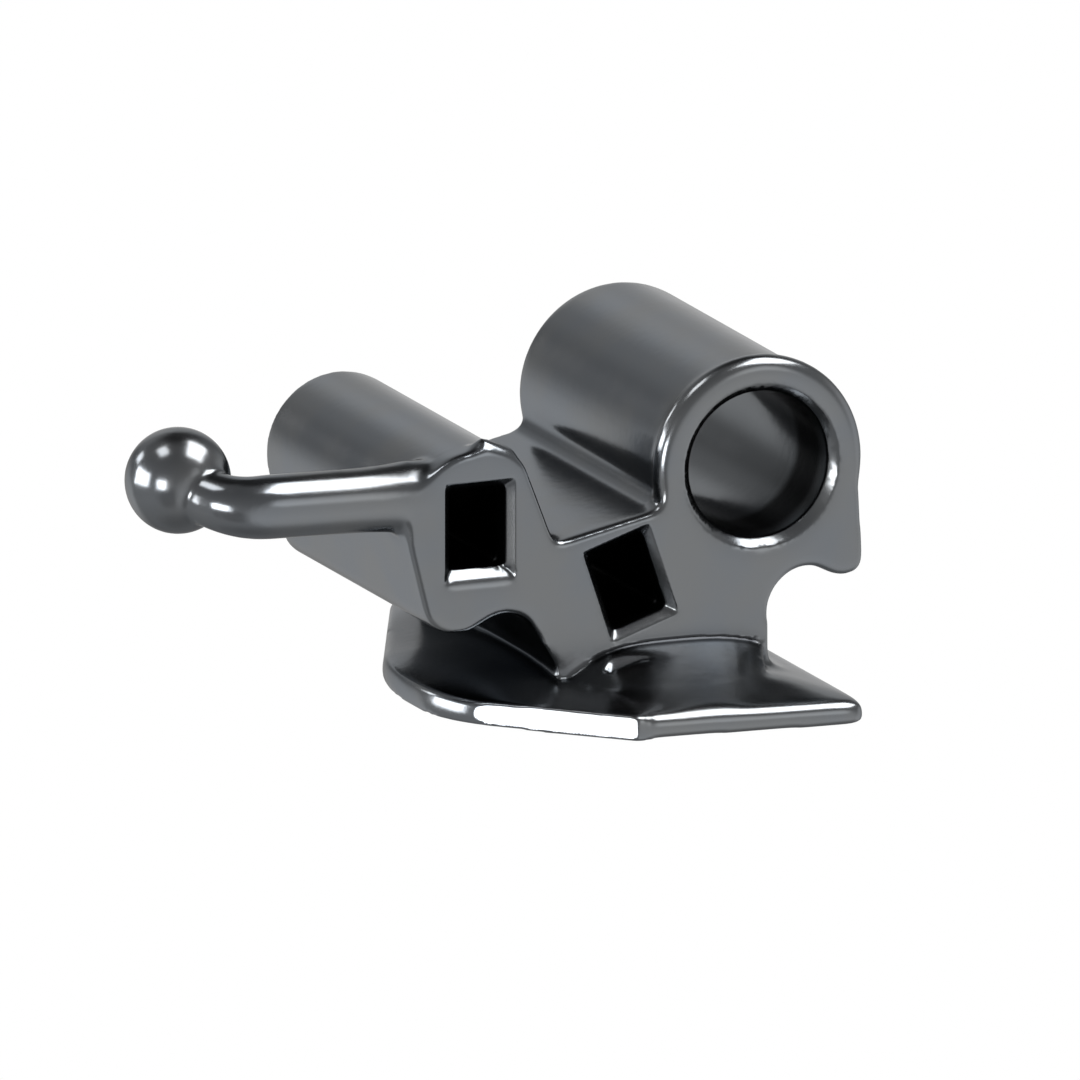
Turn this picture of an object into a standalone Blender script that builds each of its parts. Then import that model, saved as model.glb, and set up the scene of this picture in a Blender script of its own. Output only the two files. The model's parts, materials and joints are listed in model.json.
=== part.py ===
"""Triple molar buccal tube with a ball hook, moulded in one piece of stainless steel.

Metres, +Z up, away from the tooth. The tubes run along Y, and their mouths face -Y.
While it is built, the headgear tube's mouth lies at the origin. At the end the part
is moved so that its origin is at the bottom centre of its bounding box.
"""
import math

import bmesh
import bpy
from mathutils import Matrix, Vector

MM = 0.001

# Round headgear tube: a 0.045 inch bore
HEADGEAR_BORE = 1.143 * MM
HEADGEAR_WALL = 0.23 * MM
HEADGEAR_LENGTH = 3.00 * MM
HEADGEAR_CHAMFER = 0.055 * MM
HEADGEAR_CHAMFER_DEPTH = 0.09 * MM
RIM_RISE = 0.06 * MM
RIM_LENGTH = 0.17 * MM
RIM_FILLET = 0.10 * MM
RIM_LIP = 0.12 * MM

# Rectangular slots: 0.018 by 0.025 inch
SLOT_WIDTH = 0.457 * MM
SLOT_HEIGHT = 0.635 * MM
SLOT_CHAMFER = 0.07 * MM
SLOT_CHAMFER_DEPTH = 0.075 * MM
BACK_CHAMFER = 0.03 * MM

# Auxiliary tube, round-topped round its slot
AUX_X = -2.33 * MM
AUX_Z = -0.26 * MM
AUX_CORNER_WALL = 0.202 * MM
AUX_SLOT_DROP = 0.025 * MM
AUX_SIDE_LEAN = math.radians(14)
AUX_SKIRT_Z = -1.09 * MM
AUX_SKIRT_RADIUS = 0.26 * MM

# The auxiliary tube's right side is flat, and its front face has a raised lip at the top right
AUX_FLAT_ANGLE = math.radians(50)
AUX_FLAT_SPREAD = 0.035 * MM
LIP_LEFT = (-0.55 * MM, 0.05 * MM)
LIP_PEAK = (0.045 * MM, 0.69 * MM)
LIP_SHOULDER = (0.325 * MM, 0.57 * MM)
LIP_SIDE = (0.57 * MM, -0.10 * MM)
LIP_CORNER = 0.05 * MM
LIP_LENGTH = 0.15 * MM
LIP_RUNOUT = 0.26 * MM

# Main slot, leaning for torque
MAIN_X = -1.09 * MM
MAIN_Z = -0.815 * MM
MAIN_TORQUE = math.radians(18.5)

# Middle block and stem
BODY_LENGTH = 2.87 * MM
EDGE_ROUND = 0.11 * MM
EDGE_STEPS = 3
VALLEY_LEFT_Z = -0.45 * MM
VALLEY_RISE = math.radians(12)
VALLEY_CORNER = 0.06 * MM
VALLEY_FILLET = 0.16 * MM
STEM_LEFT_X = -1.62 * MM
STEM_RIGHT_X = 0.055 * MM
STEM_LEAN = math.radians(30)
FOOT_Z = -1.56 * MM
FOOT_FILLET = 0.16 * MM
FOOT_SPREAD = 0.22 * MM

# Undercut below the auxiliary tube and notch below the headgear tube
UNDERCUT_Z = -0.975 * MM
UNDERCUT_RADIUS = 0.26 * MM
UNDERCUT_FLAT = 0.23 * MM
SKIRT_HEEL = 0.08 * MM
HEEL_RADIUS = 0.195 * MM
NOTCH_Z = -0.825 * MM
NOTCH_RADIUS = 0.34 * MM
WALL_LEAN = math.radians(3.6)
WALL_LOBE_DROP = 0.10 * MM
WALL_LOBE_WIDTH = 0.42 * MM
WALL_LOBE_FLAT = 0.23 * MM
LOBE_RADIUS = 0.13 * MM

# Base pad, curved to the tooth
PAD_THICKNESS = 0.20 * MM
PAD_CROWN_Z = -1.45 * MM
PAD_DISH = 0.17 * MM
PAD_LEAN = math.radians(1.6)
PAD_LATTICE = 0.16 * MM
PAD_RIGHT_X = 0.46 * MM
PAD_FRONT_Y = -1.00 * MM
PAD_BACK_Y = 3.30 * MM
PAD_LEFT_X = -2.65 * MM
PAD_SLANT_X = -1.46 * MM
PAD_SLANT_Y = 0.03 * MM
PAD_TAPER_Y = 1.20 * MM
PAD_BACK_CORNER_X = -1.70 * MM
PAD_SLANT_CORNER = 0.08 * MM
PAD_LEFT_TURN = 1.00 * MM
PAD_TAPER_TURN = 2.40 * MM
PAD_FRONT_CORNER = 0.10 * MM
PAD_BACK_CORNER = 0.35 * MM
PAD_TOP_ROUND = 0.045 * MM
PAD_BOTTOM_ROUND = 0.03 * MM
PAD_DRAFT = 0.015 * MM

# Ramp from the front face down to the pad's front edge, arched from side to side
TOE_TOP_Z = -1.29 * MM
TOE_ARCH = 0.10 * MM
TOE_LEFT_DROP = 0.10 * MM
TOE_FALL = 0.32 * MM
TOE_LENGTH = 0.92 * MM
TOE_SLOPE = math.radians(23)
TOE_TIP_LEFT_X = -1.44 * MM
TOE_TIP_RIGHT_X = -0.32 * MM
TOE_INSET = 0.03 * MM

# Ball hook
HOOK_DIAMETER = 0.50 * MM
HOOK_ROOT_Y = 0.27 * MM
HOOK_ROOT_Z = -0.04 * MM
HOOK_ROOT_WALL = 0.12 * MM
HOOK_RISE = 0.03 * MM
HOOK_LENGTH = 1.45 * MM
HOOK_BEND = 0.375 * MM
HOOK_FLARE = 0.03 * MM
HOOK_FLARE_LENGTH = 0.09 * MM
HOOK_NECK = 0.40 * MM
BALL_DIAMETER = 0.825 * MM
BALL_BACK = 0.55 * MM
BALL_UP = 0.135 * MM
BALL_OUT = 0.12 * MM

ROUND_STEPS = 64
CORNER_STEPS = 5
TOE_STEPS = 12
SIDE_SHARE = 0.98
ROUND_PROFILE = 0.5
SEAM = 0.01 * MM
OVERSHOOT = 0.2 * MM

bore_radius = HEADGEAR_BORE / 2
headgear_radius = bore_radius + HEADGEAR_WALL
rim_radius = headgear_radius + RIM_RISE
aux_radius = math.hypot(SLOT_WIDTH, SLOT_HEIGHT) / 2 + AUX_CORNER_WALL


def clear_scene():
    """Remove every object that the scene holds."""
    for old in list(bpy.data.objects):
        bpy.data.objects.remove(old, do_unlink=True)


def new_object(name, bm):
    """Turn a bmesh into a named object, with its faces pointing outwards."""
    bmesh.ops.recalc_face_normals(bm, faces=bm.faces)
    mesh = bpy.data.meshes.new(name)
    bm.to_mesh(mesh)
    bm.free()
    made = bpy.data.objects.new(name, mesh)
    bpy.context.scene.collection.objects.link(made)
    return made


def loft(name, rings):
    """Skin a row of equal rings of points, and cap both ends."""
    bm = bmesh.new()
    loops = []
    for ring in rings:
        loops.append([bm.verts.new(point) for point in ring])
    count = len(rings[0])
    for near, far in zip(loops, loops[1:]):
        for i in range(count):
            j = (i + 1) % count
            bm.faces.new((near[i], near[j], far[j], far[i]))
    bm.faces.new(loops[0])
    bm.faces.new(loops[-1])
    return new_object(name, bm)


def arc(centre_u, centre_v, radius_u, radius_v, start, end, steps):
    """Points along an arc of an ellipse, from one angle to another."""
    points = []
    for i in range(steps + 1):
        angle = start + (end - start) * i / steps
        points.append((centre_u + radius_u * math.cos(angle), centre_v + radius_v * math.sin(angle)))
    return points


def rounded(corners):
    """An outline through corners (u, v, radius), each turned with an arc of its radius.

    Where two arcs don't fit on the side between them, both are made smaller.
    """
    points = [Vector(corner[:2]) for corner in corners]
    count = len(points)
    spokes = [(points[i - 1] - points[i], points[(i + 1) % count] - points[i]) for i in range(count)]
    halves = [before.angle(after) / 2 for before, after in spokes]
    wanted = [corner[2] / math.tan(half) for corner, half in zip(corners, halves)]
    outline = []
    for i, corner in enumerate(points):
        if wanted[i] <= 0:
            outline.append(tuple(corner))
            continue
        before, after = spokes[i]
        half = halves[i]
        share_before = before.length / (wanted[i] + wanted[i - 1])
        share_after = after.length / (wanted[i] + wanted[(i + 1) % count])
        reach = wanted[i] * min(1, SIDE_SHARE * share_before, SIDE_SHARE * share_after)
        turn = reach * math.tan(half)
        centre = corner + (before.normalized() + after.normalized()).normalized() * (turn / math.sin(half))
        first = corner + before.normalized() * reach - centre
        last = corner + after.normalized() * reach - centre
        sweep = first.angle_signed(last)
        steps = max(2, math.ceil(CORNER_STEPS * abs(sweep) / (math.pi / 2) * (1 + turn / (0.25 * MM))))
        for k in range(steps + 1):
            spoke = first.copy()
            spoke.rotate(Matrix.Rotation(-sweep * k / steps, 2))
            outline.append(tuple(centre + spoke))
    return outline


def valley_fillet():
    """The arc between the valley's floor and the headgear tube, as (x, z)."""
    start = Vector((AUX_X + aux_radius + AUX_FLAT_SPREAD, VALLEY_LEFT_Z))
    along = Vector((math.cos(VALLEY_RISE), math.sin(VALLEY_RISE)))
    upward = Vector((-along.y, along.x))
    raised = start + upward * VALLEY_FILLET
    reach = headgear_radius - SEAM + VALLEY_FILLET
    across = raised.dot(along)
    run = -across - math.sqrt(across ** 2 - raised.length_squared + reach ** 2)
    centre = raised + along * run
    to_tube = math.atan2(-centre.y, -centre.x)
    return arc(centre.x, centre.y, VALLEY_FILLET, VALLEY_FILLET, VALLEY_RISE - math.pi / 2, to_tube, 6)


def body_outline():
    """The body's section across the tubes, clockwise from the left skirt, as (x, z)."""
    side_x = AUX_X - aux_radius / math.cos(AUX_SIDE_LEAN)
    skirt_x = side_x - (AUX_SKIRT_Z - AUX_Z) * math.tan(AUX_SIDE_LEAN)
    crown = arc(AUX_X, AUX_Z, aux_radius, aux_radius, math.pi + AUX_SIDE_LEAN, AUX_FLAT_ANGLE, 22)
    valley_x = AUX_X + aux_radius + AUX_FLAT_SPREAD
    wall_z = -headgear_radius * math.sin(WALL_LEAN)
    wall_x = headgear_radius * math.cos(WALL_LEAN)
    lobe_z = NOTCH_Z - WALL_LOBE_DROP
    lobe_x = wall_x + (wall_z - lobe_z) * math.tan(WALL_LEAN)
    undercut_x = STEM_LEFT_X - (UNDERCUT_Z - FOOT_Z) * math.tan(STEM_LEAN)
    buried_z = PAD_CROWN_Z - PAD_DISH / 2 - PAD_THICKNESS / 2
    corners = [(skirt_x, AUX_SKIRT_Z, AUX_SKIRT_RADIUS)]
    corners += [(x, z, 0) for x, z in crown]
    corners.append((valley_x, VALLEY_LEFT_Z, VALLEY_CORNER))
    corners += [(x, z, 0) for x, z in valley_fillet()]
    corners += [
        (0, 0, 0),
        (wall_x, wall_z, 0),
        (lobe_x, lobe_z, LOBE_RADIUS),
        (lobe_x - WALL_LOBE_FLAT, lobe_z, LOBE_RADIUS),
        (lobe_x - WALL_LOBE_WIDTH, NOTCH_Z, LOBE_RADIUS),
        (STEM_RIGHT_X, NOTCH_Z, NOTCH_RADIUS),
        (STEM_RIGHT_X, FOOT_Z, FOOT_FILLET),
        (STEM_RIGHT_X + FOOT_SPREAD, buried_z, 0),
        (STEM_LEFT_X - FOOT_SPREAD, buried_z, 0),
        (STEM_LEFT_X, FOOT_Z, FOOT_FILLET),
        (undercut_x, UNDERCUT_Z, UNDERCUT_RADIUS),
        (undercut_x - UNDERCUT_FLAT, UNDERCUT_Z, UNDERCUT_RADIUS),
        (AUX_X - SKIRT_HEEL, AUX_SKIRT_Z, HEEL_RADIUS),
    ]
    return rounded(corners)


def make_body():
    """Extrude the section from the front face to the back, with rounded front and back edges."""
    bm = bmesh.new()
    outline = [bm.verts.new((x, 0, z)) for x, z in body_outline()]
    front = bm.faces.new(outline)
    grown = bmesh.ops.extrude_face_region(bm, geom=[front])
    back = [item for item in grown["geom"] if isinstance(item, bmesh.types.BMVert)]
    bmesh.ops.translate(bm, verts=back, vec=(0, BODY_LENGTH, 0))
    rims = [edge for edge in bm.edges if abs(edge.verts[0].co.y - edge.verts[1].co.y) < SEAM]
    bmesh.ops.bevel(
        bm, geom=rims, offset=EDGE_ROUND, segments=EDGE_STEPS, profile=ROUND_PROFILE, affect="EDGES",
        material=-1, clamp_overlap=True,
    )
    return new_object("tube_body", bm)


def make_crown_lip():
    """The raised front lip at the top right of the auxiliary tube."""
    corners = [
        (*LIP_LEFT, LIP_CORNER),
        (*LIP_PEAK, LIP_CORNER),
        (*LIP_SHOULDER, LIP_CORNER),
        (*LIP_SIDE, LIP_CORNER),
        (0, -AUX_SLOT_DROP - SLOT_HEIGHT / 2, LIP_CORNER),
    ]
    outline = rounded(corners)
    rings = []
    front = 1 - EDGE_ROUND / aux_radius
    round_off = arc(EDGE_ROUND + SEAM, front, EDGE_ROUND, 1 - front, math.pi, math.pi / 2, EDGE_STEPS)
    for y, scale in round_off + [(LIP_LENGTH, 1), (LIP_RUNOUT, front)]:
        rings.append([(AUX_X + u * scale, y, AUX_Z + v * scale) for u, v in outline])
    return loft("crown_lip_form", rings)


def turned(name, profile, centre_x=0.0, centre_z=0.0):
    """A solid turned round an axis along Y, from (y, radius) points."""
    rings = []
    for y, radius in profile:
        ring = arc(centre_x, centre_z, radius, radius, 0, 2 * math.pi, ROUND_STEPS)[:-1]
        rings.append([(x, y, z) for x, z in ring])
    return loft(name, rings)


def make_headgear_tube():
    """The headgear tube, with a rounded rim at its mouth and a fillet behind the rim."""
    profile = [(0, rim_radius - RIM_LIP)]
    for y, radius in arc(RIM_LIP, rim_radius - RIM_LIP, RIM_LIP, RIM_LIP, math.pi, math.pi / 2, 4)[1:]:
        profile.append((y, radius))
    fillet_y = RIM_LENGTH + RIM_FILLET
    crest = min(RIM_FILLET, RIM_RISE)
    for y, radius in arc(fillet_y, headgear_radius + crest, RIM_FILLET, crest, math.pi, 1.5 * math.pi, 4):
        profile.append((y, radius))
    back_y = HEADGEAR_LENGTH - EDGE_ROUND
    back_radius = headgear_radius - EDGE_ROUND
    profile += arc(back_y, back_radius, EDGE_ROUND, EDGE_ROUND, math.pi / 2, 0, EDGE_STEPS)
    return turned("headgear_tube_form", profile)


def make_headgear_bore():
    """The cutter of the headgear bore, flared at both mouths."""
    slope = HEADGEAR_CHAMFER / HEADGEAR_CHAMFER_DEPTH
    profile = [
        (-OVERSHOOT, bore_radius + HEADGEAR_CHAMFER + OVERSHOOT * slope),
        (HEADGEAR_CHAMFER_DEPTH, bore_radius),
        (HEADGEAR_LENGTH - BACK_CHAMFER, bore_radius),
        (HEADGEAR_LENGTH + OVERSHOOT, bore_radius + BACK_CHAMFER + OVERSHOOT),
    ]
    return turned("headgear_bore_cutter", profile)


def make_slot(name, centre_x, centre_z, lean):
    """The cutter of a rectangular slot, with a funnel at its mouth."""
    slope = SLOT_CHAMFER / SLOT_CHAMFER_DEPTH
    stations = [
        (-OVERSHOOT, SLOT_CHAMFER + OVERSHOOT * slope),
        (SLOT_CHAMFER_DEPTH, 0),
        (BODY_LENGTH - BACK_CHAMFER, 0),
        (BODY_LENGTH + OVERSHOOT, BACK_CHAMFER + OVERSHOOT),
    ]
    turn = Matrix.Rotation(lean, 2)
    rings = []
    for y, grow in stations:
        half_width = SLOT_WIDTH / 2 + grow
        half_height = SLOT_HEIGHT / 2 + grow
        ring = []
        for side, rise in ((-1, -1), (1, -1), (1, 1), (-1, 1)):
            x, z = turn @ Vector((side * half_width, rise * half_height))
            ring.append((centre_x + x, y, centre_z + z))
        rings.append(ring)
    return loft(name, rings)


def pad_outline():
    """The pad's plan: a slanted front corner and a tapering back on the left, as (x, y)."""
    corners = [
        (PAD_SLANT_X, PAD_FRONT_Y, PAD_SLANT_CORNER),
        (PAD_LEFT_X, PAD_SLANT_Y, PAD_LEFT_TURN),
        (PAD_LEFT_X, PAD_TAPER_Y, PAD_TAPER_TURN),
        (PAD_BACK_CORNER_X, PAD_BACK_Y, PAD_BACK_CORNER),
        (PAD_RIGHT_X, PAD_BACK_Y, PAD_BACK_CORNER),
        (PAD_RIGHT_X, PAD_FRONT_Y, PAD_FRONT_CORNER),
    ]
    return evenly(rounded(corners), PAD_LATTICE)


def evenly(outline, spacing):
    """The outline with its long sides divided, so that it can follow a curved face."""
    points = []
    for i, start in enumerate(outline):
        end = outline[(i + 1) % len(outline)]
        parts = max(1, round(math.dist(start, end) / spacing))
        for k in range(parts):
            points.append(tuple(a + (b - a) * k / parts for a, b in zip(start, end)))
    return points


def make_pad():
    """The base pad, a dished shell with a rounded rim, as rings from crown to crown."""
    outline = pad_outline()
    middle = (Vector(map(min, zip(*outline))) + Vector(map(max, zip(*outline)))) / 2
    rings = []

    def add_ring(share, inset, drop):
        ring = []
        for x, y in outline:
            spoke = Vector((x, y)) - middle
            plan = middle + spoke * share * (1 - inset / spoke.length)
            height = PAD_CROWN_Z - PAD_DISH * share ** 2 - (plan.x - middle.x) * math.tan(PAD_LEAN)
            ring.append((plan.x, plan.y, height - drop))
        rings.append(ring)

    shares = (0.12, 0.35, 0.58, 0.78, 0.92)
    for share in shares:
        add_ring(share, PAD_TOP_ROUND, 0)
    for angle in (0, math.pi / 6, math.pi / 3, math.pi / 2):
        add_ring(1, PAD_TOP_ROUND * (1 - math.sin(angle)), PAD_TOP_ROUND * (1 - math.cos(angle)))
    for angle in (0, math.pi / 4, math.pi / 2):
        inset = PAD_BOTTOM_ROUND * (1 - math.cos(angle)) - PAD_DRAFT
        add_ring(1, inset, PAD_THICKNESS - PAD_BOTTOM_ROUND * (1 - math.sin(angle)))
    for share in reversed(shares):
        add_ring(share, PAD_BOTTOM_ROUND, PAD_THICKNESS)
    return loft("pad_form", rings)


def make_toe():
    """The ramp before the front face: steep at the face, and nearly flat where it meets the pad."""
    left = STEM_LEFT_X + TOE_INSET
    right = STEM_RIGHT_X - TOE_INSET
    foot = PAD_CROWN_Z - PAD_THICKNESS - SEAM
    front_foot = TOE_TOP_Z - TOE_ARCH - TOE_FALL - SEAM
    steep = TOE_LENGTH * math.tan(TOE_SLOPE)
    rings = []
    for i in range(TOE_STEPS + 1):
        share = i / TOE_STEPS
        x = left + (right - left) * share
        tip = TOE_TIP_LEFT_X + (TOE_TIP_RIGHT_X - TOE_TIP_LEFT_X) * share
        bow = abs(2 * share - 1) ** 3
        top = TOE_TOP_Z - TOE_ARCH * bow
        left_drop = TOE_LEFT_DROP * bow if share < 0.5 else 0
        ring = [(x, OVERSHOOT, foot), (x, OVERSHOOT, top - left_drop)]
        for k in range(TOE_STEPS + 1):
            run = k / TOE_STEPS
            height = top - left_drop * (1 - run) - steep * run + (steep - TOE_FALL) * run ** 2
            ring.append((x + (tip - x) * run, -TOE_LENGTH * run, height))
        ring.append((tip, -TOE_LENGTH, front_foot))
        rings.append(ring)
    return loft("toe_form", rings)


def hook_path():
    """The hook's centre line, from inside the auxiliary tube to the ball's centre."""
    side_x = AUX_X - aux_radius
    root = Vector((AUX_X - SLOT_WIDTH / 2 - HOOK_ROOT_WALL, HOOK_ROOT_Y, HOOK_ROOT_Z))
    elbow = Vector((side_x - HOOK_LENGTH, HOOK_ROOT_Y, HOOK_ROOT_Z + HOOK_RISE))
    ball = elbow + Vector((-BALL_OUT, BALL_BACK, BALL_UP))
    return root, elbow, ball


def make_hook_arm():
    """The hook's arm: a round bar, flared at its root, that bends back to the ball."""
    root, elbow, ball = hook_path()
    bend_start = elbow + Vector((HOOK_BEND, 0, 0))
    line = [root.lerp(bend_start, i / 8) for i in range(8)]
    for i in range(11):
        t = i / 10
        line.append(bend_start * (1 - t) ** 2 + elbow * (2 * t * (1 - t)) + ball * t ** 2)
    side_x = AUX_X - aux_radius
    rings = []
    for i, point in enumerate(line):
        ahead = line[min(i + 1, len(line) - 1)]
        behind = line[max(i - 1, 0)]
        along = (ahead - behind).normalized()
        side = along.cross(Vector((0, 0, 1))).normalized()
        up = side.cross(along)
        out = max(side_x - point.x, 0)
        flare = HOOK_FLARE * math.exp(-out / HOOK_FLARE_LENGTH)
        bend = max(0, i - 8) / 10
        radius = HOOK_DIAMETER / 2 + flare - (HOOK_DIAMETER - HOOK_NECK) / 2 * bend
        ring = arc(0, 0, radius, radius, 0, 2 * math.pi, 24)[:-1]
        rings.append([point + side * u + up * v for u, v in ring])
    return loft("hook_arm_form", rings)


def make_ball():
    """The ball at the hook's end."""
    bm = bmesh.new()
    bmesh.ops.create_uvsphere(bm, u_segments=28, v_segments=18, radius=BALL_DIAMETER / 2)
    bmesh.ops.translate(bm, verts=bm.verts, vec=hook_path()[2])
    return new_object("ball_form", bm)


def combine(body, form, operation):
    """Join a form to the body, or cut it out, and hide the form."""
    modifier = body.modifiers.new(form.name, "BOOLEAN")
    modifier.operation = operation
    modifier.solver = "EXACT"
    modifier.object = form
    form.hide_render = True
    form.display_type = "WIRE"


def steel():
    """Polished dark stainless steel."""
    material = bpy.data.materials.new("polished_steel")
    material.use_nodes = True
    shader = material.node_tree.nodes["Principled BSDF"]
    shader.inputs["Base Color"].default_value = (0.30, 0.31, 0.32, 1)
    shader.inputs["Metallic"].default_value = 1
    shader.inputs["Roughness"].default_value = 0.18
    return material


def rest_on_origin(body):
    """Apply the modifiers, and move the mesh so that its box stands centred on the origin."""
    bpy.context.view_layer.update()
    finished = bpy.data.meshes.new_from_object(body.evaluated_get(bpy.context.evaluated_depsgraph_get()))
    body.modifiers.clear()
    body.data = finished
    xs = [vertex.co.x for vertex in finished.vertices]
    ys = [vertex.co.y for vertex in finished.vertices]
    zs = [vertex.co.z for vertex in finished.vertices]
    shift = Vector((-(min(xs) + max(xs)) / 2, -(min(ys) + max(ys)) / 2, -min(zs)))
    finished.transform(Matrix.Translation(shift))
    finished.shade_smooth()
    finished.set_sharp_from_angle(angle=math.radians(35))


def main():
    clear_scene()
    body = make_body()
    for form in (
        make_headgear_tube(), make_pad(), make_toe(), make_crown_lip(), make_hook_arm(), make_ball(),
    ):
        combine(body, form, "UNION")
    cutters = (
        make_headgear_bore(),
        make_slot("auxiliary_slot_cutter", AUX_X, AUX_Z - AUX_SLOT_DROP, 0),
        make_slot("main_slot_cutter", MAIN_X, MAIN_Z, MAIN_TORQUE),
    )
    for cutter in cutters:
        combine(body, cutter, "DIFFERENCE")
    rest_on_origin(body)
    body.data.materials.clear()
    body.data.materials.append(steel())


main()
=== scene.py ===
"""The looks of a polished steel buccal tube: its fine surface, its steel, and a small studio.

Metres, +Z up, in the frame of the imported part. The tubes' mouths face -Y. Azimuths go round
from the mouths' side, and grow towards +X.
"""
import json
import math

import bmesh
import bpy
import numpy as np
from mathutils import Matrix, Vector


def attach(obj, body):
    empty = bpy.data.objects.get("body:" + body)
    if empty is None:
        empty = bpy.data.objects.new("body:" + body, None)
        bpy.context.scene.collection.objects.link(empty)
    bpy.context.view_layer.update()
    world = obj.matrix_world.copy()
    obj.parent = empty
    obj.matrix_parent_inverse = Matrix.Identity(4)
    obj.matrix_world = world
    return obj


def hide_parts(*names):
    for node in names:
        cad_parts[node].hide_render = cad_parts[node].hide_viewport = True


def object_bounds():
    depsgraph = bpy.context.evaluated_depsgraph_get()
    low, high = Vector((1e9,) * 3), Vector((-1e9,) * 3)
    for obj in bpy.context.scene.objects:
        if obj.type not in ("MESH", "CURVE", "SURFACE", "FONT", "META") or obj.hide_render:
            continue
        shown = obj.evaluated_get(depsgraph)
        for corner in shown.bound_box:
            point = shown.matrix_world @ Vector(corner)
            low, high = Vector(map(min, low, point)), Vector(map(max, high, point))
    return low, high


MM = 0.001

# The photograph's view: a camera far away, so that nothing gets smaller with distance
VIEW_AZIMUTH = math.radians(-22.6)
VIEW_ELEVATION = math.radians(13.6)
PHOTO_PIXELS = 1080
PIXELS_PER_MM = 131
VIEW_RIGHT = 0.610 * MM
VIEW_UP = 1.182 * MM
CAMERA_DISTANCE = 60 * MM

# Lumens: the round bore, and two slots given by their centre, half sizes and lean
BORE_X = 2.022 * MM
BORE_Z = 1.863 * MM
BORE_RADIUS = 0.572 * MM
SLOT_HALF_WIDTH = 0.229 * MM
SLOT_HALF_HEIGHT = 0.318 * MM
AUXILIARY_SLOT = (-0.308 * MM, 1.578 * MM, 0.0)
MAIN_SLOT = (0.932 * MM, 1.048 * MM, math.radians(18.5))

# Mouths: the bore's flare and the sill's are as deep as they are wide, and the slot's own is as built
BORE_FLARE = 0.085 * MM
SILL_FLARE = 0.105 * MM
SLOT_FLARE = 0.07 * MM
SILL_EDGE = 0.012 * MM

# The fine surface, worked out at 1000 times the real size
ENLARGED = 1000
VOXEL = 0.0174
TRIANGLES = 196000
SMOOTHING = 0.5
ALL_ROUNDS = 5
EDGE_ROUNDS = 70
RIM_ROUNDS = 90

# How much of the edges' smoothing each region gets: 0 is crisp, 1 is the softest
EDGE_SOFTNESS = 0.3
FRONT_SOFTNESS = 1.0
RIM_SOFTNESS = 1.0
SLANTED_RIM_SOFTNESS = 0.1
LEFT_RIM_SOFTNESS = 0.5

# Where those regions are
FRONT_DEPTH = 0.22 * MM
MOUTH_DEPTH = 0.13 * MM
MOUTH_MARGIN = 0.075 * MM
RAMP_TOP_Z = 0.64 * MM
RAMP_SIDES_X = (0.60 * MM, 1.95 * MM)
RIM_TOP_Z = 0.36 * MM
RIM_CORNER_X = 0.64 * MM
ROUND_RIM_X = 0.70 * MM
LEFT_RIM_X = -0.10 * MM

# The flat ground on the slanted rim
RIM_NORMAL = (-0.650, -0.751, 0.118)
RIM_LEVEL = 1.257 * MM
RIM_KEPT = 0.12 * MM

# Steel, and the painted shade in its lumens, crevices and creases, and along the ramp's edge
STEEL = (0.186, 0.199, 0.215)
STEEL_WARM = (0.198, 0.205, 0.211)
EDGE_TINT = (0.5, 0.5, 0.5, 1)
# Painted shade in the bore: its far wall dimmed, and its near wall darker still
BORE_FAR_SHADE = (0.144, 0.152, 0.160)
BORE_SHADE = (0.030, 0.031, 0.032)
# Painted shade: the slots' walls, nearly black inside
SLOT_PAINTED_SHADE = (0.010, 0.010, 0.010)
# Painted shade: the colour given to crevices and creases, where the part's own surface closes in
CREVICE_PAINTED_SHADE = (0.060, 0.068, 0.078)
# Painted shade: a dark strip where the ramp meets the front face
RAMP_EDGE_SHADE = (0.035, 0.037, 0.040)
ROUGHNESS = 0.16
ROUGHNESS_CHANGE = 0.06
CLOUD_PER_MM = 1.3
TINT_CLOUDS = (0.35, 0.65)
POLISH_CLOUDS = (0.3, 0.7)
PEEL_PER_MM = 14
PEEL_DEPTH = 0.0006 * MM

# Where painted shade darkens the steel: each pair runs from none to all of it, or from crevice to
# open
LUMEN_START = (0.08 * MM, 0.30 * MM)
BORE_SHADE_DEPTH = (0.60 * MM, 0.74 * MM)
BORE_WALL = (BORE_RADIUS + 0.04 * MM, BORE_RADIUS)
SLOT_WALL = (0.04 * MM, 0.01 * MM)
RAMP_EDGE_FRONT = (-0.080 * MM, -0.035 * MM)
RAMP_EDGE_BACK = (-0.001 * MM, -0.003 * MM)
RAMP_EDGE_TOP = (RAMP_TOP_Z + 0.06 * MM, RAMP_TOP_Z + 0.03 * MM)
RAMP_EDGE_LEFT = (RAMP_SIDES_X[0] - 0.05 * MM, RAMP_SIDES_X[0] + 0.05 * MM)
RAMP_EDGE_RIGHT = (RAMP_SIDES_X[1] + 0.05 * MM, RAMP_SIDES_X[1])
CREVICE_REACH = 0.9 * MM
CREVICE_OPENNESS = (0.25, 0.70)
CREASE_REACH = 0.13 * MM
CREASE_OPENNESS = (0.60, 0.95)
OPENNESS_SAMPLES = 8

# Softboxes: azimuth, elevation, width and height in degrees, and radiance
SOFTBOX_DISTANCE = 60 * MM
SOFTBOXES = {
    "top_softbox": (70, 60, 42, 30, 7),
    "left_softbox": (-108, 6, 38, 24, 7),
    "front_strip": (-58, 2, 20, 18, 9),
    "back_lamp": (-141, 22, 14, 12, 5),
    "left_lamp": (-103, 62, 22, 16, 4),
}

# The studio's own light: its level at each elevation in degrees
SKY_LEVELS = (
    (-90, 0.40),
    (-60, 0.60),
    (-30, 0.72),
    (-8, 0.60),
    (15, 0.48),
    (40, 0.38),
    (90, 0.26),
)

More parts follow.
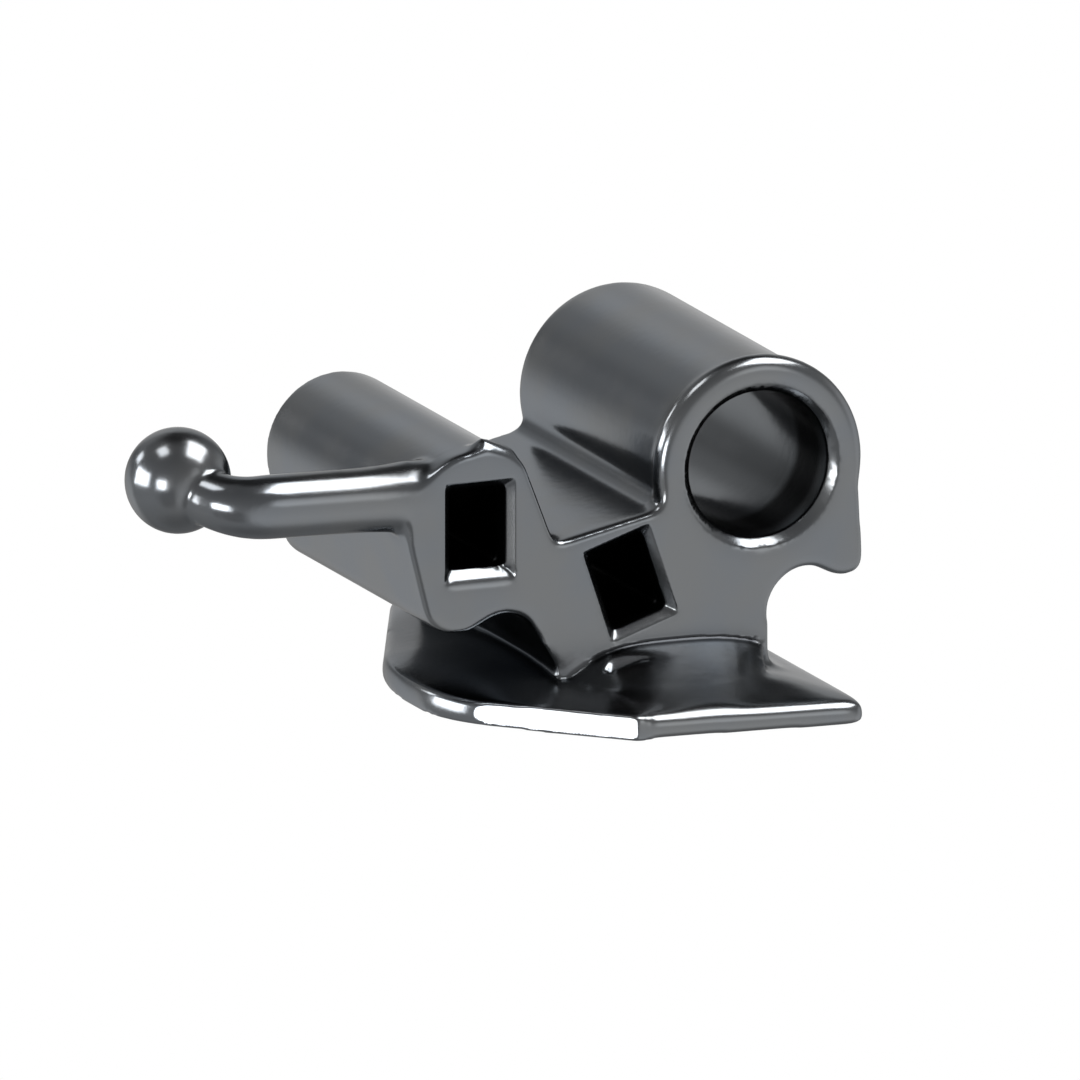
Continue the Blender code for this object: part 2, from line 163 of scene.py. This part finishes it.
# Its brighter and darker sides: azimuth, elevation, inner and outer angle in degrees, and gain
SKY_SIDES = (
    (18, -18, 25, 50, 0.46),
    (95, -15, 20, 45, 0.60),
    (158, 14, 8, 30, 1.00),
    (-179, 28, 5, 22, 0.30),
    (-164, -20, 6, 28, 0.90),
    (23, 20, 4, 16, 1.00),
    (-45, -25, 10, 28, -0.25),
    (150, 55, 10, 35, -0.25),
)

FLOOR_SIZE = 2
FLOOR_GAP = 0.02 * MM


def heading(azimuth, elevation):
    """The direction from the part towards a place in the studio, from degrees."""
    turn = math.radians(azimuth)
    rise = math.radians(elevation)
    return Vector((math.sin(turn) * math.cos(rise), -math.cos(turn) * math.cos(rise), math.sin(rise)))


class Socket:
    """A node's output, with arithmetic that adds Math nodes."""

    def __init__(self, graph, source):
        self.graph = graph
        self.source = source

    def maths(self, operation, *values):
        return self.graph.out("ShaderNodeMath", {"operation": operation}, dict(enumerate(values)))

    def __add__(self, other):
        return self.maths("ADD", self, other)

    __radd__ = __add__

    def __sub__(self, other):
        return self.maths("SUBTRACT", self, other)

    def __rsub__(self, other):
        return self.maths("SUBTRACT", other, self)

    def __mul__(self, other):
        return self.maths("MULTIPLY", self, other)

    __rmul__ = __mul__

    def __abs__(self):
        return self.maths("ABSOLUTE", self)

    def length(self, other):
        return self.maths("SQRT", self * self + other * other)

    def larger(self, other):
        return self.maths("MAXIMUM", self, other)

    def smooth_step(self, low, high):
        """0 where the value is at low, 1 at high, and smooth between them."""
        settings = {"interpolation_type": "SMOOTHSTEP"}
        values = {"Value": self, "From Min": low, "From Max": high}
        return self.graph.out("ShaderNodeMapRange", settings, values)


class Graph:
    """A node tree, and the ways of adding nodes to it."""

    def __init__(self, tree):
        self.tree = tree

    def node(self, kind, settings, values):
        """Add a node: its settings come first, then the values or links of its sockets."""
        made = self.tree.nodes.new(kind)
        for name, setting in settings.items():
            if name == "stops":
                set_stops(made.color_ramp, setting)
            else:
                setattr(made, name, setting)
        for name, value in values.items():
            if isinstance(value, Socket):
                self.tree.links.new(value.source, made.inputs[name])
            else:
                made.inputs[name].default_value = value
        return made

    def out(self, kind, settings, values, output=0):
        return Socket(self, self.node(kind, settings, values).outputs[output])

    def xyz(self, vector):
        split = self.node("ShaderNodeSeparateXYZ", {}, {0: vector})
        return [Socket(self, output) for output in split.outputs]

    def mix_colours(self, factor, first, second):
        values = {"Factor": factor}
        for name, colour in ((6, first), (7, second)):
            values[name] = colour if isinstance(colour, Socket) else (*colour, 1)
        return self.out("ShaderNodeMix", {"data_type": "RGBA"}, values, 2)

    def noise(self, place, scale, detail):
        values = {"Vector": place, "Scale": scale, "Detail": detail}
        return self.out("ShaderNodeTexNoise", {}, values)

    def openness(self, reach, levels):
        """0 in a crevice and 1 in the open, judged by the part's own surface within a reach."""
        settings = {"only_local": True, "samples": OPENNESS_SAMPLES}
        room = self.out("ShaderNodeAmbientOcclusion", settings, {"Distance": reach}, "AO")
        return room.smooth_step(*levels)


def set_stops(ramp, stops):
    """Give a colour ramp its (position, level) stops."""
    while len(ramp.elements) < len(stops):
        ramp.elements.new(1)
    for element, (position, level) in zip(ramp.elements, stops):
        element.position = position
        element.color = (level, level, level, 1)


def front_y():
    """The plane that the three mouths open on, from the record's mount."""
    for mount in frame["record"]["mounts"]:
        if mount["name"] == "front_face":
            return mount["pos_m"][1]


def slot_axes(x, z, slot):
    """Coordinates across and along a slot, from its centre."""
    centre_x, centre_z, lean = slot
    across = (x - centre_x) * math.cos(lean) + (z - centre_z) * math.sin(lean)
    along = (z - centre_z) * math.cos(lean) - (x - centre_x) * math.sin(lean)
    return across, along


def outside_lumens(x, z):
    """How far points across the mouths lie outside the nearest lumen: below 0 is inside."""
    nearest = np.hypot(x - BORE_X, z - BORE_Z) - BORE_RADIUS
    for slot in (AUXILIARY_SLOT, MAIN_SLOT):
        across, along = slot_axes(x, z, slot)
        box = np.maximum(abs(across) - SLOT_HALF_WIDTH, abs(along) - SLOT_HALF_HEIGHT)
        nearest = np.minimum(nearest, box)
    return nearest


def merged_copy(node, name):
    """A copy of a node's mesh with its loose triangles joined, enlarged for the voxels."""
    mesh = node.data.copy()
    bm = bmesh.new()
    bm.from_mesh(mesh)
    bmesh.ops.scale(bm, vec=Vector((ENLARGED,) * 3), verts=bm.verts)
    bmesh.ops.remove_doubles(bm, verts=bm.verts, dist=1e-5)
    bm.to_mesh(mesh)
    bm.free()
    mesh.materials.clear()
    mesh.name = name
    piece = bpy.data.objects.new(name, mesh)
    bpy.context.scene.collection.objects.link(piece)
    return piece


def apply_modifiers(piece):
    """Replace the piece's mesh with what its modifiers make of it."""
    bpy.context.view_layer.update()
    made = bpy.data.meshes.new_from_object(piece.evaluated_get(bpy.context.evaluated_depsgraph_get()))
    old = piece.data
    piece.modifiers.clear()
    piece.data = made
    bpy.data.meshes.remove(old)


def vertex_places(mesh):
    """Where the mesh's vertices are, one row each."""
    places = np.empty(len(mesh.vertices) * 3, dtype=np.float32)
    mesh.vertices.foreach_get("co", places)
    return places.reshape(-1, 3)


def move_vertices(mesh, places):
    """Put the mesh's vertices at new places."""
    mesh.vertices.foreach_set("co", places.ravel().astype(np.float32))
    mesh.update()


def flare_mouths(x, y, z):
    """Push y inward to widen the bore's flare and the sill below the auxiliary slot."""
    front = front_y()
    out = np.hypot(x - BORE_X, z - BORE_Z) - BORE_RADIUS
    at_mouth = (out < BORE_FLARE) & (y < front + BORE_FLARE)
    y[at_mouth] = np.maximum(y, front + BORE_FLARE - np.maximum(out, 0))[at_mouth]
    below = AUXILIARY_SLOT[1] - SLOT_HALF_HEIGHT - z
    beside = abs(x - AUXILIARY_SLOT[0]) - SLOT_HALF_WIDTH
    outward = np.maximum(below / SILL_FLARE, beside / SLOT_FLARE)
    sill = front + SILL_FLARE * (1 - np.maximum(outward, 0))
    at_sill = (y < sill) & (outward < 1) & (below > np.where(beside < 0, -SILL_EDGE, 0))
    y[at_sill] = sill[at_sill]


def soft_regions(piece, x, y, z):
    """Vertex groups for the edges' smoothing: the whole surface, and the rim's round part.

    The mouths and the ramp stay crisp, and the pad's slanted rim nearly so.
    """
    front = front_y()
    mouths = (y < front + MOUTH_DEPTH) & (outside_lumens(x, z) < MOUTH_MARGIN)
    ramp = (y < front + VOXEL * MM) & (z < RAMP_TOP_Z) & (x > RAMP_SIDES_X[0]) & (x < RAMP_SIDES_X[1])
    front_edges = (y < front + FRONT_DEPTH) & (z > RAMP_TOP_Z) & ~mouths
    rim = z < RIM_TOP_Z
    soft = piece.vertex_groups.new(name="soft_edges")
    for where, softness in (
        (~mouths & ~ramp, EDGE_SOFTNESS),
        (front_edges, FRONT_SOFTNESS),
        (rim, RIM_SOFTNESS),
        (rim & (x < RIM_CORNER_X), SLANTED_RIM_SOFTNESS),
        (rim & (x < LEFT_RIM_X), LEFT_RIM_SOFTNESS),
    ):
        soft.add(np.flatnonzero(where).tolist(), softness, "REPLACE")
    round_rim = piece.vertex_groups.new(name="round_rim")
    round_rim.add(np.flatnonzero(rim & (x > ROUND_RIM_X)).tolist(), 1.0, "REPLACE")
    return soft.name, round_rim.name


def grind_rim(mesh):
    """Grind the pad's slanted rim flat."""
    places = vertex_places(mesh)
    spare = np.maximum(places @ np.array(RIM_NORMAL) - RIM_LEVEL, 0)
    spare[places[:, 2] > RIM_TOP_Z] = 0
    places -= spare[:, None] * np.array(RIM_NORMAL, dtype=np.float32)
    move_vertices(mesh, places)


def thin_out(piece):
    """Bring the triangles down to a fair number, and keep the shading of the dense surface.

    The flat on the slanted rim keeps its small triangles.
    """
    dense = bpy.data.objects.new("dense_surface", piece.data.copy())
    bpy.context.scene.collection.objects.link(dense)
    away_from_rim = vertex_places(piece.data) @ np.array(RIM_NORMAL) < RIM_LEVEL - RIM_KEPT
    thinned = piece.vertex_groups.new(name="thinned")
    thinned.add(np.flatnonzero(away_from_rim).tolist(), 1.0, "REPLACE")
    thin = piece.modifiers.new("thin", "DECIMATE")
    thin.vertex_group = thinned.name
    thin.ratio = min(1, TRIANGLES / (2 * len(piece.data.polygons)))
    sheen = piece.modifiers.new("sheen", "DATA_TRANSFER")
    sheen.object = dense
    sheen.use_loop_data = True
    sheen.data_types_loops = {"CUSTOM_NORMAL"}
    sheen.loop_mapping = "POLYINTERP_NEAREST"
    apply_modifiers(piece)
    mesh = dense.data
    bpy.data.objects.remove(dense, do_unlink=True)
    bpy.data.meshes.remove(mesh)


def fine_surface(node):
    """The tube's surface with its edges and inner corners rounded, as polishing leaves them."""
    piece = merged_copy(node, "buccal_tube_steel")
    remesh = piece.modifiers.new("voxels", "REMESH")
    remesh.mode = "VOXEL"
    remesh.voxel_size = VOXEL
    apply_modifiers(piece)
    x, y, z = vertex_places(piece.data).T / ENLARGED
    flare_mouths(x, y, z)
    move_vertices(piece.data, np.column_stack((x, y, z)) * ENLARGED)
    soft, round_rim = soft_regions(piece, x, y, z)
    for name, rounds, group in (
        ("all", ALL_ROUNDS, ""),
        ("soft", EDGE_ROUNDS, soft),
        ("rim", RIM_ROUNDS, round_rim),
    ):
        smooth = piece.modifiers.new(name, "SMOOTH")
        smooth.factor = SMOOTHING
        smooth.iterations = rounds
        smooth.vertex_group = group
    apply_modifiers(piece)
    piece.data.transform(Matrix.Scale(1 / ENLARGED, 4))
    grind_rim(piece.data)
    piece.data.shade_smooth()
    thin_out(piece)
    return piece


def lumen_masks(graph, place):
    """Where the steel is inside the bore, and in its far part, and where it is inside a slot: the
    places of the painted shade in the lumens.
    """
    x, y, z = graph.xyz(place)
    depth = y - front_y()
    deep = depth.smooth_step(*LUMEN_START)
    bore = (x - BORE_X).length(z - BORE_Z).smooth_step(*BORE_WALL)
    slots = []
    for slot in (AUXILIARY_SLOT, MAIN_SLOT):
        across, along = slot_axes(x, z, slot)
        box = (abs(across) - SLOT_HALF_WIDTH).larger(abs(along) - SLOT_HALF_HEIGHT)
        slots.append(box.smooth_step(*SLOT_WALL))
    return bore * deep, depth.smooth_step(*BORE_SHADE_DEPTH), slots[0].larger(slots[1]) * deep


def ramp_edge_mask(graph, place):
    """The narrow strip where the ramp meets the front face, which is painted dark as shade."""
    x, y, z = graph.xyz(place)
    depth = y - front_y()
    strip = depth.smooth_step(*RAMP_EDGE_FRONT) * depth.smooth_step(*RAMP_EDGE_BACK)
    sides = x.smooth_step(*RAMP_EDGE_LEFT) * x.smooth_step(*RAMP_EDGE_RIGHT)
    return strip * z.smooth_step(*RAMP_EDGE_TOP) * sides


def steel():
    """Polished steel, cloudy and slightly rippled from tumbling, with painted shade in crevices,
    creases, lumens and along the ramp's edge.
    """
    material = bpy.data.materials.new("polished_steel")
    material.use_nodes = True
    graph = Graph(material.node_tree)
    shader = material.node_tree.nodes["Principled BSDF"]
    shader.inputs["Metallic"].default_value = 1
    shader.inputs["Specular Tint"].default_value = EDGE_TINT
    place = graph.out("ShaderNodeTexCoord", {}, {}, "Object")
    bore, far, slots = lumen_masks(graph, place)
    clouds = graph.noise(place, CLOUD_PER_MM / MM, 3)
    peel = graph.noise(place, PEEL_PER_MM / MM, 2)
    open_steel = graph.mix_colours(clouds.smooth_step(*TINT_CLOUDS), STEEL, STEEL_WARM)
    open_room = graph.openness(CREVICE_REACH, CREVICE_OPENNESS)
    open_crease = graph.openness(CREASE_REACH, CREASE_OPENNESS)
    # Painted shade: crevices and creases darkened by how closed in the part's own surface is around
    # them
    colour = graph.mix_colours(open_room * open_crease, CREVICE_PAINTED_SHADE, open_steel)
    # Painted shade along the strip where the ramp meets the front face
    colour = graph.mix_colours(ramp_edge_mask(graph, place), colour, RAMP_EDGE_SHADE)
    # Painted shade in the bore: dark near the mouth, dimmer than the open steel further in
    colour = graph.mix_colours(bore, colour, graph.mix_colours(far, BORE_SHADE, BORE_FAR_SHADE))
    # Painted shade: the slots' walls made nearly black
    colour = graph.mix_colours(slots, colour, SLOT_PAINTED_SHADE)
    polish = clouds.smooth_step(*POLISH_CLOUDS) * ROUGHNESS_CHANGE + ROUGHNESS
    bump = graph.out("ShaderNodeBump", {}, {"Strength": 1.0, "Distance": PEEL_DEPTH, "Height": peel})
    for name, value in (("Base Color", colour), ("Roughness", polish), ("Normal", bump)):
        graph.tree.links.new(value.source, shader.inputs[name])
    return material


def softbox(name, azimuth, elevation, width, height, radiance):
    """A lamp with a rectangular face that shines on the part from one direction."""
    direction = heading(azimuth, elevation)
    lamp = bpy.data.lights.new(name, "AREA")
    lamp.shape = "RECTANGLE"
    lamp.size = 2 * SOFTBOX_DISTANCE * math.tan(math.radians(width) / 2)
    lamp.size_y = 2 * SOFTBOX_DISTANCE * math.tan(math.radians(height) / 2)
    lamp.energy = radiance * math.pi * lamp.size * lamp.size_y
    box = bpy.data.objects.new(name, lamp)
    bpy.context.scene.collection.objects.link(box)
    box.rotation_mode = "QUATERNION"
    box.rotation_quaternion = direction.to_track_quat("Z", "Y")
    box.location = centre + direction * SOFTBOX_DISTANCE
    box.visible_camera = False


def studio_world():
    """Grey walls, paler towards the floor, with brighter and darker sides."""
    world = bpy.data.worlds.new("studio")
    bpy.context.scene.world = world
    world.use_nodes = True
    tree = world.node_tree
    tree.nodes.clear()
    graph = Graph(tree)
    direction = graph.out("ShaderNodeTexCoord", {}, {}, "Generated")
    height = graph.xyz(direction)[2]
    stops = [((1 + math.sin(math.radians(rise))) / 2, level) for rise, level in SKY_LEVELS]
    light = graph.out("ShaderNodeValToRGB", {"stops": stops}, {0: height * 0.5 + 0.5})
    for azimuth, elevation, inner, outer, gain in SKY_SIDES:
        middle = tuple(heading(azimuth, elevation))
        settings = {"operation": "DOT_PRODUCT"}
        nearness = graph.out("ShaderNodeVectorMath", settings, {0: direction, 1: middle}, "Value")
        step = nearness.smooth_step(math.cos(math.radians(outer)), math.cos(math.radians(inner)))
        light = light + step * gain
    back = graph.out("ShaderNodeBackground", {}, {"Strength": light})
    graph.node("ShaderNodeOutputWorld", {}, {"Surface": back})


def floor():
    """A white floor below the part, seen only by the camera."""
    bm = bmesh.new()
    bmesh.ops.create_grid(bm, x_segments=1, y_segments=1, size=FLOOR_SIZE)
    mesh = bpy.data.meshes.new("floor")
    bm.to_mesh(mesh)
    bm.free()
    made = bpy.data.objects.new("floor", mesh)
    bpy.context.scene.collection.objects.link(made)
    made.location.z = -FLOOR_GAP
    made.visible_glossy = False
    made.visible_diffuse = False
    made.visible_shadow = False
    material = bpy.data.materials.new("white_floor")
    material.use_nodes = True
    material.node_tree.nodes.clear()
    graph = Graph(material.node_tree)
    glow = graph.out("ShaderNodeEmission", {}, {"Color": (1, 1, 1, 1)})
    graph.node("ShaderNodeOutputMaterial", {}, {"Surface": glow})
    made.data.materials.append(material)


def camera():
    """The photograph's view."""
    data = bpy.data.cameras.new("camera")
    data.type = "ORTHO"
    data.ortho_scale = PHOTO_PIXELS / PIXELS_PER_MM * MM
    data.clip_start = 1 * MM
    data.clip_end = 1
    made = bpy.data.objects.new("camera", data)
    bpy.context.scene.collection.objects.link(made)
    flat = math.cos(VIEW_ELEVATION)
    back = Vector((
        math.sin(VIEW_AZIMUTH) * flat,
        -math.cos(VIEW_AZIMUTH) * flat,
        math.sin(VIEW_ELEVATION),
    ))
    right = Vector((math.cos(VIEW_AZIMUTH), math.sin(VIEW_AZIMUTH), 0))
    up = back.cross(right)
    made.rotation_mode = "QUATERNION"
    made.rotation_quaternion = back.to_track_quat("Z", "Y")
    made.location = right * VIEW_RIGHT + up * VIEW_UP + back * CAMERA_DISTANCE
    bpy.context.scene.camera = made


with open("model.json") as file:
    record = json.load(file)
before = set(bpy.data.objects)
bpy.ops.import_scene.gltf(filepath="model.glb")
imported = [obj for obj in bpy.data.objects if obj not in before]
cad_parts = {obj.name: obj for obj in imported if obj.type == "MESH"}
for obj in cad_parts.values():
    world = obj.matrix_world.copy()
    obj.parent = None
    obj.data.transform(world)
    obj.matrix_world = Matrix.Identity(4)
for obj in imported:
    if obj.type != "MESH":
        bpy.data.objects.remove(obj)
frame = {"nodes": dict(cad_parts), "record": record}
cad_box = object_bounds()
centre = (cad_box[0] + cad_box[1]) / 2
camera()
tube = fine_surface(frame["nodes"]["tube_body"])
tube.data.materials.append(steel())
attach(tube, "root")
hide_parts("tube_body")
studio_world()
floor()
for name, place in SOFTBOXES.items():
    softbox(name, *place)
bpy.context.scene.view_settings.view_transform = "Standard"
